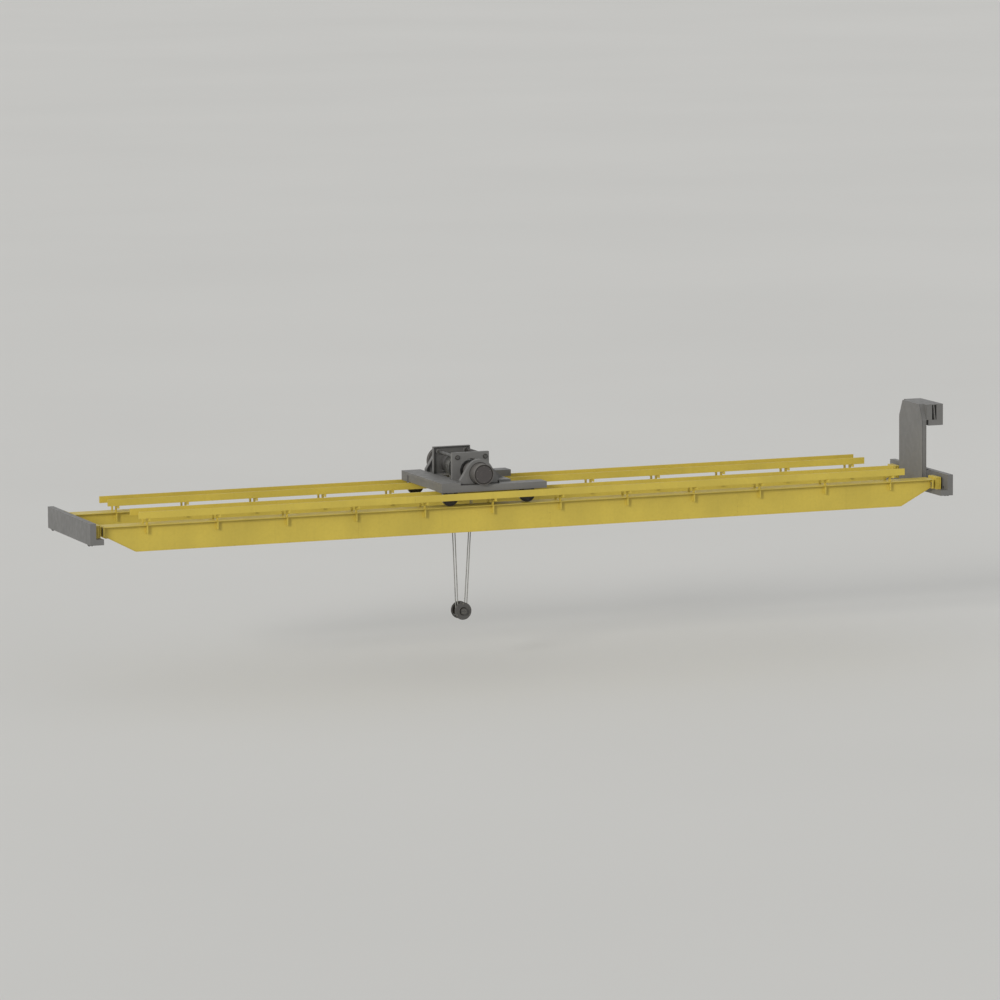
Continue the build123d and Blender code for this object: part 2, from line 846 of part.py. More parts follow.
def build():
    """Write every piece."""
    os.makedirs("parts", exist_ok=True)
    for side, name in ((-1, "left"), (1, "right")):
        put(f"truck_{name}", truck(side))
        for place, where in zip(truck_wheel_places(side), ("front", "rear")):
            put(f"truck_wheel_{name}_{where}", truck_wheel(side, place))
    for side, name in ((-1, "front"), (1, "rear")):
        y = side * girder_centre_y
        put(f"girder_{name}_top_flange", girder_top(y))
        put(f"girder_{name}_bottom_flange", girder_bottom(y))
        near = girder_web((y - girder_half_box, y - girder_half_box + girder_web_thickness))
        far = girder_web((y + girder_half_box - girder_web_thickness, y + girder_half_box))
        put(f"girder_{name}_webs", [near, far])
        put(f"girder_{name}_end_left", end_block(-1, y))
        put(f"girder_{name}_end_right", end_block(1, y))
        put(f"guard_bars_{name}", guard_bars(y))
        put(f"brackets_{name}_outer", bracket_row(y, side))
        put(f"brackets_{name}_inner", bracket_row(y, -side))
        put(f"trolley_beam_{name}", side_beam(side))
        put(f"hoist_plate_{name}", hoist_plate(side))
        put(f"hoist_pedestal_{name}", pedestal(side))
        put(f"hoist_unit_{name}", hoist_unit(side))
        for index, where in ((0, "left"), (1, "right")):
            put(f"trolley_wheel_{name}_{where}", trolley_wheel(index, side))
        put(f"sheave_{name}", sheave(side))
    put("mast", mast())
    put("mast_arm", mast_arm())
    put("upper_carriage", upper_carriage())
    put("trolley_cross_left", left_cross_beam())
    put("trolley_cross_right", right_cross_beam())
    put("hoist_deck", deck())
    put("hoist_tie_rods", tie_rods())
    put("rope_anchor", rope_anchor())
    put("drum", drum())
    put("drum_rope_turns", rope_turns())
    put("drum_ropes", drum_ropes())
    put("fixed_ropes", fixed_ropes())
    put("rope_bights", rope_bights())
    put("rope_block", rope_block())


build()
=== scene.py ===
"""Looks for an overhead bridge crane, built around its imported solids. Metres, in the row frame."""
from math import cos, pi, radians, sin

import bpy
from mathutils import Matrix, Vector


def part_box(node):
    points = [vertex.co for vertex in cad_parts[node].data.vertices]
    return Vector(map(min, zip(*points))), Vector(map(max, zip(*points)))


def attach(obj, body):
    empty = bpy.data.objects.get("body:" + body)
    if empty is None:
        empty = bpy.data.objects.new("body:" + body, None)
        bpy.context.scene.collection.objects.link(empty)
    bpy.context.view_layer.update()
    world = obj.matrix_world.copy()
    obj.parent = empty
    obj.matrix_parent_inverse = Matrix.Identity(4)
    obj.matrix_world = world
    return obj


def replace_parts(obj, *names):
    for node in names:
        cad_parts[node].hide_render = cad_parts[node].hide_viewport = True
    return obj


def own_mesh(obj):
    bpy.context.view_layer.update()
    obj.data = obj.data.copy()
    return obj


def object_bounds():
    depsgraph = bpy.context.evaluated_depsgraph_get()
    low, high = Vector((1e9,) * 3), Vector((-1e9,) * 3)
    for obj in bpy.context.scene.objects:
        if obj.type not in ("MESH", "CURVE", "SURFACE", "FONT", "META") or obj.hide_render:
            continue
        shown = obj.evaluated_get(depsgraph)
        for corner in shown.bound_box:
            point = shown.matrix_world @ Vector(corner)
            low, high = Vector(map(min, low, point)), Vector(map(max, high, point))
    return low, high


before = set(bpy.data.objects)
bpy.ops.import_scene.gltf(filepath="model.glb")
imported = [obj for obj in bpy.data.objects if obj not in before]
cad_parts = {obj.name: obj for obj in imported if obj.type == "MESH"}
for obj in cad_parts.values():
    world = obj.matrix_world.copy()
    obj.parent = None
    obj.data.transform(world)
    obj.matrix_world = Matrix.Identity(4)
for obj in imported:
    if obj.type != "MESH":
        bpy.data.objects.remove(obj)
cad_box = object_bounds()

# Camera, fitted to the photograph
CAMERA_PLACE = (-43.365, -142.422, 20.597)
CAMERA_YAW = 20.8526
CAMERA_PITCH = -7.59
CAMERA_ROLL = -0.4153
CAMERA_LENS = 225.213
CAMERA_SENSOR = 36

# Studio
FLOOR_DROP = 1.2
FLOOR_REACH = 1500
PALE = (0.82, 0.82, 0.81)
SKY_STRENGTH = 0.70
SUN_STRENGTH = 1.57
SUN_SOFTNESS = 14
SUN_TILT = 72
SUN_TURN = -50
SUN_COLOUR = (1.0, 0.97, 0.92)

# Colours, written as sRGB
YELLOW = (0.752, 0.670, 0.268)
GREY = (0.424, 0.422, 0.416)
DRIVE = (0.355, 0.344, 0.334)
DRIVE_FACE = (0.262, 0.246, 0.242)
BLOCK_GREY = (0.30, 0.295, 0.287)
DIRT = (0.17, 0.15, 0.12)
DUST = (0.66, 0.63, 0.56)
PRIMER = (0.34, 0.25, 0.19)
STEEL = (0.52, 0.52, 0.51)
IRON = (0.27, 0.26, 0.25)
ROPE = (0.66, 0.66, 0.64)
# Grease on bare metal and rope, and also the colour of the painted shade.
GREASE_AND_SHADE = (0.13, 0.12, 0.10)

# Fasteners, as the width across flats and the head's height, and welds
M12 = (0.018, 0.0075)
M20 = (0.030, 0.0125)
M24 = (0.036, 0.015)
WELD_LEG = 0.009
WELD_STEP = 0.018

# Sizes that the details take from the solids
BRACKETS = 12
BRACKET_PLATE = 0.034
BAR_HALF = 0.025
GIRDER_FLAT_HALF = 9.95
END_PLATE = 0.035
END_NECK = 0.068
END_BLOCK_HALF = 0.235
END_NECK_HALF = 0.120
TROLLEY_AXLE_HALF = 0.067
TRUCK_AXLE_INWARD = 0.0735
TIE_ROD_INSET = 0.060
ANCHOR_RADIUS = 0.065
ARM_HALF = 0.670
ARM_NECK_HALF = 0.490
TRUCK_BOX_WIDE = 0.147
MAST_RIB_PLACE = 0.674
MAST_RIB_HALF = 0.006
MAST_RIB_TALL = 0.386
PEDESTAL_FOOT = 0.020
PEDESTAL_BOLTS = (-0.44, -0.29, 0.29, 0.44)
SLOT_NEAR = 0.007
SLOT_FAR = 0.048
BOTTOM_FLANGE = 0.012
SPLICE_SHIFT = 0.6
BAR_JOINT_SHIFT = 0.35
PIN_CIRCLE = 0.185
CHEEK_FACE = 0.150
HUB_FACE = 0.228

# Heights between which the painted shade on the inner faces of the hoist's plates fades
INNER_SHADE_FULL = 1.10
INNER_SHADE_TOP = 1.75

# Ropes
ROPE_RADIUS = 0.013
ROPE_CIRCLE = 0.275
ROPE_PITCH = 0.030
ROPE_LEAD = 0.090
ROPE_TURNS = 9
ROPE_LAY = 0.25
ROPE_STRANDS = 6
ROPE_SIDES = 18
ROPE_VALLEY_SHARE = 0.22
FALL_STEP = 0.007
COIL_STEP = 0.011
SHEAVE_CIRCLE = 0.110
SHEAVE_OFFSET = 0.075
STANDING_OFFSET = 0.050
FALL_GAP = 0.001


def linear(colour):
    """An sRGB colour as the linear values that a shader takes."""
    parts = [c / 12.92 if c <= 0.04045 else ((c + 0.055) / 1.055) ** 2.4 for c in colour]
    return (*parts, 1.0)


def shade(colour, share):
    """A colour made darker or lighter by a share."""
    return tuple(min(1.0, c * share) for c in colour)


def add(tree, kind, sockets=None, **settings):
    """A node with its sockets set to plain values or joined to other nodes' outputs."""
    made = tree.nodes.new(kind)
    for key, value in settings.items():
        setattr(made, key, value)
    for key, value in (sockets or {}).items():
        if isinstance(value, bpy.types.NodeSocket):
            tree.links.new(value, made.inputs[key])
        else:
            made.inputs[key].default_value = value
    return made


def spread(tree, value, low, high, top=1.0):
    """A value mapped from between two limits to between nothing and a top."""
    limits = {"Value": value, "From Min": low, "From Max": high, "To Max": top}
    return add(tree, "ShaderNodeMapRange", limits).outputs["Result"]


def tint(tree, factor, first, second):
    """A mix of two colours, each a plain colour or another node's output."""
    made = add(tree, "ShaderNodeMix", {0: factor}, data_type="RGBA")
    for index, value in ((6, first), (7, second)):
        if isinstance(value, bpy.types.NodeSocket):
            tree.links.new(value, made.inputs[index])
        else:
            made.inputs[index].default_value = linear(value)
    return made.outputs[2]


def times(tree, first, second):
    """The product of two values."""
    return add(tree, "ShaderNodeMath", {0: first, 1: second}, operation="MULTIPLY").outputs[0]


def noise(tree, place, scale, detail=4.0):
    """Noise read at a place."""
    sockets = {"Vector": place, "Scale": scale, "Detail": detail}
    return add(tree, "ShaderNodeTexNoise", sockets).outputs["Fac"]


def new_material(name):
    """A material with its tree, its shader and the place on the object."""
    material = bpy.data.materials.new(name)
    material.use_nodes = True
    tree = material.node_tree
    place = add(tree, "ShaderNodeTexCoord").outputs["Object"]
    return material, tree, tree.nodes["Principled BSDF"], place


def edge_wear(tree, place, radius, bite):
    """How worn a spot is: high on convex edges, broken up by noise."""
    bent = add(tree, "ShaderNodeBevel", {"Radius": radius}).outputs["Normal"]
    straight = add(tree, "ShaderNodeNewGeometry").outputs["Normal"]
    sockets = {0: bent, 1: straight}
    near = add(tree, "ShaderNodeVectorMath", sockets, operation="DOT_PRODUCT").outputs["Value"]
    edge = spread(tree, near, 0.995, 0.86)
    return times(tree, edge, spread(tree, noise(tree, place, 23, 6), 0.62 - bite, 0.66))


def upward(tree):
    """How far a face looks up."""
    normal = add(tree, "ShaderNodeNewGeometry").outputs["Normal"]
    height = add(tree, "ShaderNodeSeparateXYZ", {"Vector": normal}).outputs["Z"]
    return spread(tree, height, 0.4, 0.95)


def paint(name, colour, roughness, streaks, dust, bite):
    """Old paint: faded in patches, streaked, dusty on top, chipped along its edges."""
    material, tree, shader, place = new_material(name)
    fade = spread(tree, noise(tree, place, 0.9), 0.35, 0.65)
    tone = tint(tree, fade, shade(colour, 0.97), shade(colour, 1.03))
    mottle = spread(tree, noise(tree, place, 14, 8), 0.45, 0.75, 0.18)
    tone = tint(tree, mottle, tone, shade(colour, 0.86))
    tall = add(tree, "ShaderNodeMapping", {"Vector": place, "Scale": (11, 11, 0.9)})
    run = spread(tree, noise(tree, tall.outputs["Vector"], 1.0, 6), 0.55, 0.78, streaks)
    tone = tint(tree, run, tone, DIRT)
    settled = times(tree, upward(tree), spread(tree, noise(tree, place, 3, 6), 0.35, 0.7, dust))
    tone = tint(tree, settled, tone, DUST)
    worn = edge_wear(tree, place, 0.006, bite)
    tone = tint(tree, worn, tone, PRIMER)
    tree.links.new(tone, shader.inputs["Base Color"])
    grain = spread(tree, noise(tree, place, 6, 5), 0.3, 0.7)
    limits = {"Value": grain, "To Min": roughness - 0.08, "To Max": roughness + 0.12}
    gloss = add(tree, "ShaderNodeMapRange", limits)
    tree.links.new(gloss.outputs["Result"], shader.inputs["Roughness"])
    fine = {"Height": noise(tree, place, 160, 3), "Strength": 0.12, "Distance": 0.001}
    skin = add(tree, "ShaderNodeBump", fine).outputs["Normal"]
    broad = {"Height": noise(tree, place, 2.2, 2), "Strength": 0.10, "Distance": 0.01, "Normal": skin}
    tree.links.new(add(tree, "ShaderNodeBump", broad).outputs["Normal"], shader.inputs["Normal"])
    return material


def painted_inner_shade(material, colour):
    """Darken a paint with painted shade on the faces that look toward the middle of the hoist, less toward the
    top.
    """
    tree = material.node_tree
    shader = tree.nodes["Principled BSDF"]
    place = add(tree, "ShaderNodeTexCoord").outputs["Object"]
    normal = add(tree, "ShaderNodeNewGeometry").outputs["Normal"]
    side = add(tree, "ShaderNodeSeparateXYZ", {"Vector": place}).outputs["Y"]
    turn = add(tree, "ShaderNodeSeparateXYZ", {"Vector": normal}).outputs["Y"]
    height = add(tree, "ShaderNodeSeparateXYZ", {"Vector": place}).outputs["Z"]
    # Painted shade: faces turned toward the hoist's middle are darkened, fully up to the lower height and
    # fading out by the upper one.
    inward = spread(tree, times(tree, times(tree, side, turn), -1.0), 0.25, 0.5, 0.75)
    inward = times(tree, inward, spread(tree, height, INNER_SHADE_TOP, INNER_SHADE_FULL))
    plain = shader.inputs["Base Color"].links[0].from_socket
    tree.links.new(tint(tree, inward, plain, colour), shader.inputs["Base Color"])
    return material


def bare_metal(name, colour, roughness, metallic, grime, brushed):
    """Bare metal with grime in its hollows and fine turning marks."""
    material, tree, shader, place = new_material(name)
    shader.inputs["Metallic"].default_value = metallic
    patch = spread(tree, noise(tree, place, 9, 7), 0.4, 0.7, grime)
    tone = tint(tree, patch, colour, GREASE_AND_SHADE)
    spots = spread(tree, noise(tree, place, 38, 6), 0.64, 0.74, 0.5)
    tone = tint(tree, spots, tone, PRIMER)
    tree.links.new(tone, shader.inputs["Base Color"])
    rough = add(tree, "ShaderNodeMapRange", {"Value": patch, "To Min": roughness, "To Max": roughness + 0.3})
    tree.links.new(rough.outputs["Result"], shader.inputs["Roughness"])
    fine = add(tree, "ShaderNodeMapping", {"Vector": place, "Scale": brushed})
    marks = noise(tree, fine.outputs["Vector"], 1.0, 3)
    bump = add(tree, "ShaderNodeBump", {"Height": marks, "Strength": 0.18, "Distance": 0.0008})
    tree.links.new(bump.outputs["Normal"], shader.inputs["Normal"])
    return material


def rope_wire(name, colour, grease):
    """Drawn wire with grease in the valleys between its strands."""
    material, tree, shader, place = new_material(name)
    shader.inputs["Metallic"].default_value = 0.35
    shader.inputs["Roughness"].default_value = 0.5
    wires = spread(tree, noise(tree, place, 420, 2), 0.42, 0.6)
    tone = tint(tree, wires, shade(colour, 0.72), colour)
    oil = spread(tree, noise(tree, place, 7, 5), 0.5, 0.75, grease)
    tree.links.new(tint(tree, oil, tone, GREASE_AND_SHADE), shader.inputs["Base Color"])
    bump = add(tree, "ShaderNodeBump", {"Height": wires, "Strength": 0.3, "Distance": 0.0006})
    tree.links.new(bump.outputs["Normal"], shader.inputs["Normal"])
    return material


YELLOW_PAINT = paint("yellow_paint", YELLOW, 0.48, 0.05, 0.05, 0.04)
GREY_PAINT = paint("grey_paint", GREY, 0.5, 0.012, 0.03, 0.03)
DRIVE_PAINT = paint("drive_paint", DRIVE, 0.42, 0.10, 0.12, 0.06)
DRIVE_DISC = paint("drive_disc", DRIVE_FACE, 0.5, 0.05, 0.05, 0.02)
BLOCK_PAINT = paint("block_paint", BLOCK_GREY, 0.45, 0.10, 0.10, 0.06)
# The hoist's plates carry painted shade on their inner faces.
HOIST_PAINT = painted_inner_shade(paint("hoist_paint", GREY, 0.5, 0.012, 0.03, 0.03), shade(GREY, 0.6))
# Near-black paint, used only as painted shade: grooves, slots, feet, inner faces and the anchor's collars.
PAINTED_SHADE = paint("dark_painted_shade", GREASE_AND_SHADE, 0.5, 0.0, 0.0, 0.0)
OILED_STEEL = bare_metal("oiled_steel", shade(STEEL, 0.78), 0.4, 0.6, 0.5, (90, 90, 90))
CAST_IRON = bare_metal("wheel_iron", IRON, 0.5, 0.45, 0.5, (45, 45, 45))
TREAD = bare_metal("polished_tread", STEEL, 0.26, 0.9, 0.2, (20, 160, 20))
ZINC = bare_metal("zinc_bolts", (0.50, 0.49, 0.46), 0.42, 0.7, 0.3, (120, 120, 120))
WIRE = rope_wire("wire_rope", ROPE, 0.5)
# The turns on the drum take the rope colour darkened to 0.62 as painted shade inside the hoist, and more
# grease than the falls.
WOUND_WIRE = rope_wire("wound_wire", shade(ROPE, 0.62), 0.8)


class Pile:
    """Points and faces gathered from small forms, which become one piece."""

    def __init__(self):
        self.points = []
        self.faces = []

    def put(self, form, place=Matrix.Identity(4)):
        """Lay one form down at a place."""
        points, faces = form
        start = len(self.points)
        self.points += [place @ Vector(point) for point in points]
        self.faces += [[start + index for index in face] for face in faces]

    def piece(self, name, material, body, slot, smooth=False):
        """Make the piece and set it on its body."""
        mesh = bpy.data.meshes.new(name)
        mesh.from_pydata(self.points, [], self.faces)
        mesh.materials.append(material)
        if smooth:
            mesh.shade_smooth()
        mesh.validate()
        made = bpy.data.objects.new(name, mesh)
        bpy.context.scene.collection.objects.link(made)
        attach(made, body)
        return made


def facing(place, direction, spin=0.0):
    """The matrix that stands a form on a place, with its own Z along a direction."""
    turn = Vector(direction).to_track_quat("Z", "Y").to_matrix().to_4x4()
    return Matrix.Translation(place) @ turn @ Matrix.Rotation(spin, 4, "Z")


def ring_faces(rings, sides, closed=False):
    """The faces between rings of points that follow each other."""
    faces = []
    for ring in range(rings if closed else rings - 1):
        here = ring * sides
        there = (ring + 1) % rings * sides
        for side in range(sides):
            after = (side + 1) % sides
            faces.append((here + side, here + after, there + after, there + side))
    return faces


def turned(profile, sides=72):
    """A form turned about Z from points given as height and radius, closed at both ends."""
    points = []
    for height, radius in profile:
        for side in range(sides):
            angle = 2 * pi * side / sides
            points.append((radius * cos(angle), radius * sin(angle), height))
    faces = ring_faces(len(profile), sides)
    faces.append(tuple(range(sides))[::-1])
    last = (len(profile) - 1) * sides
    faces.append(tuple(range(last, last + sides)))
    return points, faces


def band(low, high, inner, outer):
    """The outline of a plain ring between two heights and two radii."""
    return [(low, inner), (low, outer), (high, outer), (high, inner)]


def turned_ring(profile, sides=72):
    """A form turned about Z from a closed outline that stays off the axis."""
    points, _ = turned(profile, sides)
    return points, ring_faces(len(profile), sides, closed=True)


def bolt(size):
    """A hexagon head with a chamfered crown, on a round washer."""
    across, height = size
    corner = across / 3**0.5
    washer = across * 0.62
    thick = height * 0.22
    head = [(thick, corner), (thick + height * 0.86, corner), (thick + height, corner * 0.88)]
    points, faces = turned([(0, washer), (thick * 0.8, washer), (thick, washer * 0.95)], 24)
    more, shapes = turned(head, 6)
    start = len(points)
    return points + more, faces + [tuple(start + index for index in face) for face in shapes]


def bolts(pile, size, places, direction):
    """Bolts on a face, each turned a little differently."""
    form = bolt(size)
    for index, place in enumerate(places):
        pile.put(form, facing(place, direction, index * 0.7))


def weld(pile, start, end, first, second, leg=WELD_LEG):
    """A rippled fillet of weld along a line, in the corner between two directions."""
    start, end, first, second = Vector(start), Vector(end), Vector(first), Vector(second)
    count = max(3, int((end - start).length / WELD_STEP))
    points = []
    for index in range(count + 1):
        root = start.lerp(end, index / count)
        swell = leg * (0.86 + 0.14 * (index % 2))
        corner = (first + second) * swell * 0.62
        points += [root, root + first * swell, root + corner, root + second * swell]
    faces = ring_faces(count + 1, 4)
    faces += [(3, 2, 1, 0), tuple(count * 4 + index for index in range(4))]
    pile.put((points, faces))


def plate(low, high, edge=0.002):
    """A plate or block with eased edges, between two corners."""
    low, high = Vector(low), Vector(high)
    points = []
    for inset, z in ((edge, low.z), (0, low.z + edge), (0, high.z - edge), (edge, high.z)):
        x0, x1, y0, y1 = low.x + inset, high.x - inset, low.y + inset, high.y - inset
        points += [
            (x0 + edge, y0, z), (x1 - edge, y0, z), (x1, y0 + edge, z), (x1, y1 - edge, z),
            (x1 - edge, y1, z), (x0 + edge, y1, z), (x0, y1 - edge, z), (x0, y0 + edge, z),
        ]
    faces = ring_faces(4, 8)
    faces += [tuple(range(8))[::-1], tuple(range(24, 32))]
    return points, faces


def stranded(stations, closed=False):
    """A rope's outline of twisted strands, swept through stations of centre, two axes and way gone."""
    points = []
    for centre, first, second, way in stations:
        for side in range(ROPE_SIDES):
            angle = 2 * pi * side / ROPE_SIDES
            strand = abs(cos(ROPE_STRANDS / 2 * (angle - 2 * pi * way / ROPE_LAY)))
            radius = ROPE_RADIUS * (1 - ROPE_VALLEY_SHARE * (1 - strand))
            points.append(centre + first * (radius * cos(angle)) + second * (radius * sin(angle)))
    faces = ring_faces(len(stations), ROPE_SIDES, closed)
    if closed:
        return points, faces
    faces.append(tuple(range(ROPE_SIDES))[::-1])
    last = (len(stations) - 1) * ROPE_SIDES
    faces.append(tuple(range(last, last + ROPE_SIDES)))
    return points, faces


def middle(node):
    """The middle of a CAD node's box."""
    low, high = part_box(node)
    return (low + high) / 2


HOIST = middle("drum")
BLOCK = middle("rope_block")
ANCHOR_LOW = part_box("rope_anchor")[0].z
FRONT_BACK = (("front", -1), ("rear", 1))
ALONG_X = Vector((1, 0, 0))
ALONG_Y = Vector((0, 1, 0))
ALONG_Z = Vector((0, 0, 1))


def mirrored(half):
    """A profile whose second half repeats its first, the other way round."""
    return [(-height, radius) for height, radius in half] + half[::-1]


def trolley_wheels():
    """Wheels with a polished tread, a dished web and a capped axle."""
    body_half = [
        (TROLLEY_AXLE_HALF, 0.0), (TROLLEY_AXLE_HALF, 0.027), (0.064, 0.030), (0.052, 0.030), (0.052, 0.064),
        (0.047, 0.070), (0.030, 0.073), (0.0225, 0.082), (0.0225, 0.176), (0.029, 0.183), (0.041, 0.184),
        (0.045, 0.188), (0.045, 0.207), (0.0435, 0.2095),
    ]
    tread_half = [(0.0435, 0.2090), (0.0405, 0.2129), (0.0, 0.2130)]
    for where in ("front_left", "front_right", "rear_left", "rear_right"):
        node = f"trolley_wheel_{where}"
        place = facing(middle(node), ALONG_Y)
        wheel, tread = Pile(), Pile()
        wheel.put(turned(mirrored(body_half)), place)
        tread.put(turned_ring(mirrored(tread_half) + [(0.0, 0.2075)]), place)
        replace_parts(wheel.piece(f"{node}_dressed", CAST_IRON, node, "wheel_iron"), node)
        tread.piece(f"{node}_tread", TREAD, node, "wheel_iron")


def truck_wheels():
    """Double-flanged wheels inside the trucks, each with the longer end of its axle inward."""
    flank = [
        (0.054, 0.032), (0.054, 0.074), (0.048, 0.080), (0.045, 0.084), (0.045, 0.218), (0.041, 0.2249),
        (0.030, 0.2249), (0.026, 0.206), (0.0, 0.205),
    ]
    inward = [(TRUCK_AXLE_INWARD, 0.0), (TRUCK_AXLE_INWARD, 0.029), (0.071, 0.032), *flank]
    outward = [(0.0625, 0.0), (0.0625, 0.029), (0.060, 0.032), *flank]
    profile = [(-height, radius) for height, radius in inward] + outward[::-1]
    for side_name, side in (("left", -1), ("right", 1)):
        for where in ("front", "rear"):
            node = f"truck_wheel_{side_name}_{where}"
            low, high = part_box(node)
            centre = (low + high) / 2
            centre.x = high.x - TRUCK_AXLE_INWARD if side < 0 else low.x + TRUCK_AXLE_INWARD
            wheel = Pile()
            wheel.put(turned(profile), facing(centre, (side, 0, 0)))
            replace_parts(wheel.piece(f"{node}_dressed", CAST_IRON, node, "wheel_iron"), node)


def case_outline(neck_end, seat, end):
    """The front case: a neck, a seat against the pedestal, a smooth drum and a narrow rim."""
    return [
        (neck_end, 0.056), (neck_end, 0.192), (neck_end + 0.008, 0.200), (seat, 0.200),
        (seat, 0.250), (seat + 0.006, 0.256), (end - 0.052, 0.256), (end - 0.051, 0.254),
        (end - 0.048, 0.254), (end - 0.047, 0.256), (end - 0.010, 0.258), (end - 0.003, 0.256),
        (end, 0.252), (end, 0.243), (end - 0.003, 0.240), (end - 0.034, 0.240), (end - 0.034, 0.200),
    ]


def cover_outline(neck_end, seat, end):
    """The rear case: as in front up to the side beam, then a wide gear case between two flanges."""
    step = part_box("trolley_beam_rear")[1].y + 0.010
    return [
        (neck_end, 0.056), (neck_end, 0.192), (neck_end + 0.008, 0.200), (seat, 0.200),
        (seat, 0.252), (seat + 0.006, 0.258), (step, 0.258), (step, 0.347), (step + 0.003, 0.350),
        (step + 0.019, 0.350), (step + 0.022, 0.347), (step + 0.022, 0.338), (end - 0.032, 0.338),
        (end - 0.032, 0.347), (end - 0.029, 0.350), (end - 0.012, 0.350), (end - 0.009, 0.347),
        (end - 0.009, 0.200),
    ]


def drive_units():
    """Round cases with a rim round a set-back face, rings of bolts, and rings of painted shade in the front
    groove and round each seat.
    """
    low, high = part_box("hoist_unit_front")
    end = -low.y
    neck_end = -high.y
    seat = -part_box("hoist_pedestal_front")[0].y
    front_face = [
        (end - 0.034, 0.2395), (end - 0.030, 0.2395), (end - 0.030, 0.216), (end - 0.010, 0.214),
        (end - 0.006, 0.210), (end - 0.006, 0.090), (end - 0.003, 0.086), (end - 0.003, 0.0),
    ]
    rear_face = [
        (end - 0.009, 0.300), (end - 0.006, 0.297), (end - 0.006, 0.150), (end - 0.002, 0.144),
        (end - 0.002, 0.070), (end, 0.066), (end, 0.0),
    ]
    front_rings = ((0.188, 6, end - 0.006),)
    rear_rings = ((0.325, 18, end - 0.009), (0.120, 6, end - 0.002))
    front = (case_outline(neck_end, seat, end), front_face, front_rings)
    rear = (cover_outline(neck_end, seat, end), rear_face, rear_rings)
    for (where, side), (outline, face, rings) in zip(FRONT_BACK, (front, rear)):
        node = f"hoist_unit_{where}"
        place = facing((HOIST.x, 0, HOIST.z), (0, side, 0))
        case, disc, heads = Pile(), Pile(), Pile()
        case.put(turned(outline, 120), place)
        disc.put(turned(face, 120), place)
        for radius, count, height in rings:
            for index in range(count):
                angle = 2 * pi * (index + 0.5) / count
                spot = place @ Vector((radius * cos(angle), radius * sin(angle), height))
                bolts(heads, M12, [spot], (0, side, 0))
        # Painted shade: a near-black ring down in the front case's groove between its rim and its face, and a
        # ring on each pedestal round the case's seat.
        shade_rings = Pile()
        if side < 0:
            shade_rings.put(turned_ring(band(end - 0.031, end - 0.016, 0.2170, 0.2395), 120), place)
        shade_rings.put(turned_ring(band(seat - 0.012, seat - 0.003, 0.259, 0.272), 120), place)
        shade_rings.piece(f"{node}_joints", PAINTED_SHADE, "trolley", "drive_paint")
        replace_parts(case.piece(f"{node}_case", DRIVE_PAINT, "trolley", "drive_paint"), node)
        disc.piece(f"{node}_face", DRIVE_DISC, "trolley", "drive_paint")
        heads.piece(f"{node}_bolts", ZINC, "trolley", "bare_steel")


def grooved_drum():
    """The drum with a row of rope grooves, a slim middle that the standing ropes pass, and a flange."""
    low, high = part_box("drum")
    tip = (high.y - low.y) / 2
    half_drum, body, flange, groove = 0.590, 0.2610, 0.012, 0.0045
    middle_end, middle_body = 0.072, 0.244
    right = [(tip, 0.0), (tip, 0.052), (tip - 0.003, 0.055), (half_drum, 0.055), (half_drum, body - 0.004)]
    count = int((half_drum - 0.03 - ROPE_LEAD) / ROPE_PITCH)
    for index in range(count, -1, -1):
        at = ROPE_LEAD + index * ROPE_PITCH
        for share, depth in ((0.5, 0.0), (0.25, 0.75), (0.0, 1.0), (-0.25, 0.75)):
            right.append((at + share * ROPE_PITCH, body - depth * groove))
    right += [(middle_end, body - 0.003), (middle_end - 0.003, middle_body), (flange, middle_body)]
    right += [(flange, 0.346), (flange - 0.003, 0.350)]
    drum = Pile()
    drum.put(turned(mirrored(right), 120), facing(HOIST, ALONG_Y))
    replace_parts(drum.piece("drum_dressed", OILED_STEEL, "drum", "bare_steel"), "drum")


def turn_stations(across):
    """One closed turn of rope in its groove on the drum, with a whole number of strands round it."""
    count = int(2 * pi * ROPE_CIRCLE / COIL_STEP)
    lays = round(2 * pi * ROPE_CIRCLE * ROPE_STRANDS / ROPE_LAY)
    stations = []
    for index in range(count):
        angle = 2 * pi * index / count
        out = Vector((cos(angle), 0, sin(angle)))
        centre = Vector((HOIST.x, across, HOIST.z)) + out * ROPE_CIRCLE
        stations.append((centre, out, ALONG_Y, index / count * lays * ROPE_LAY / ROPE_STRANDS))
    return stations


def fall_stations(low, top):
    """A straight fall of rope with level rings, from low to top."""
    count = int((top - low).length / FALL_STEP)
    return [(low.lerp(top, index / count), ALONG_X, ALONG_Y, index * FALL_STEP) for index in range(count + 1)]


def wound_rope():
    """The turns on the drum. The turn that a fall joins stays with the trolley."""
    coil, live = Pile(), Pile()
    for _, side in FRONT_BACK:
        live.put(stranded(turn_stations(side * ROPE_LEAD), closed=True))
        for index in range(1, ROPE_TURNS):
            across = side * (ROPE_LEAD + index * ROPE_PITCH)
            coil.put(stranded(turn_stations(across), closed=True))
    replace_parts(coil.piece("rope_on_drum", WOUND_WIRE, "drum", "wire_rope", True), "drum_rope_turns")
    live.piece("rope_live_turns", WOUND_WIRE, "trolley", "wire_rope", True)


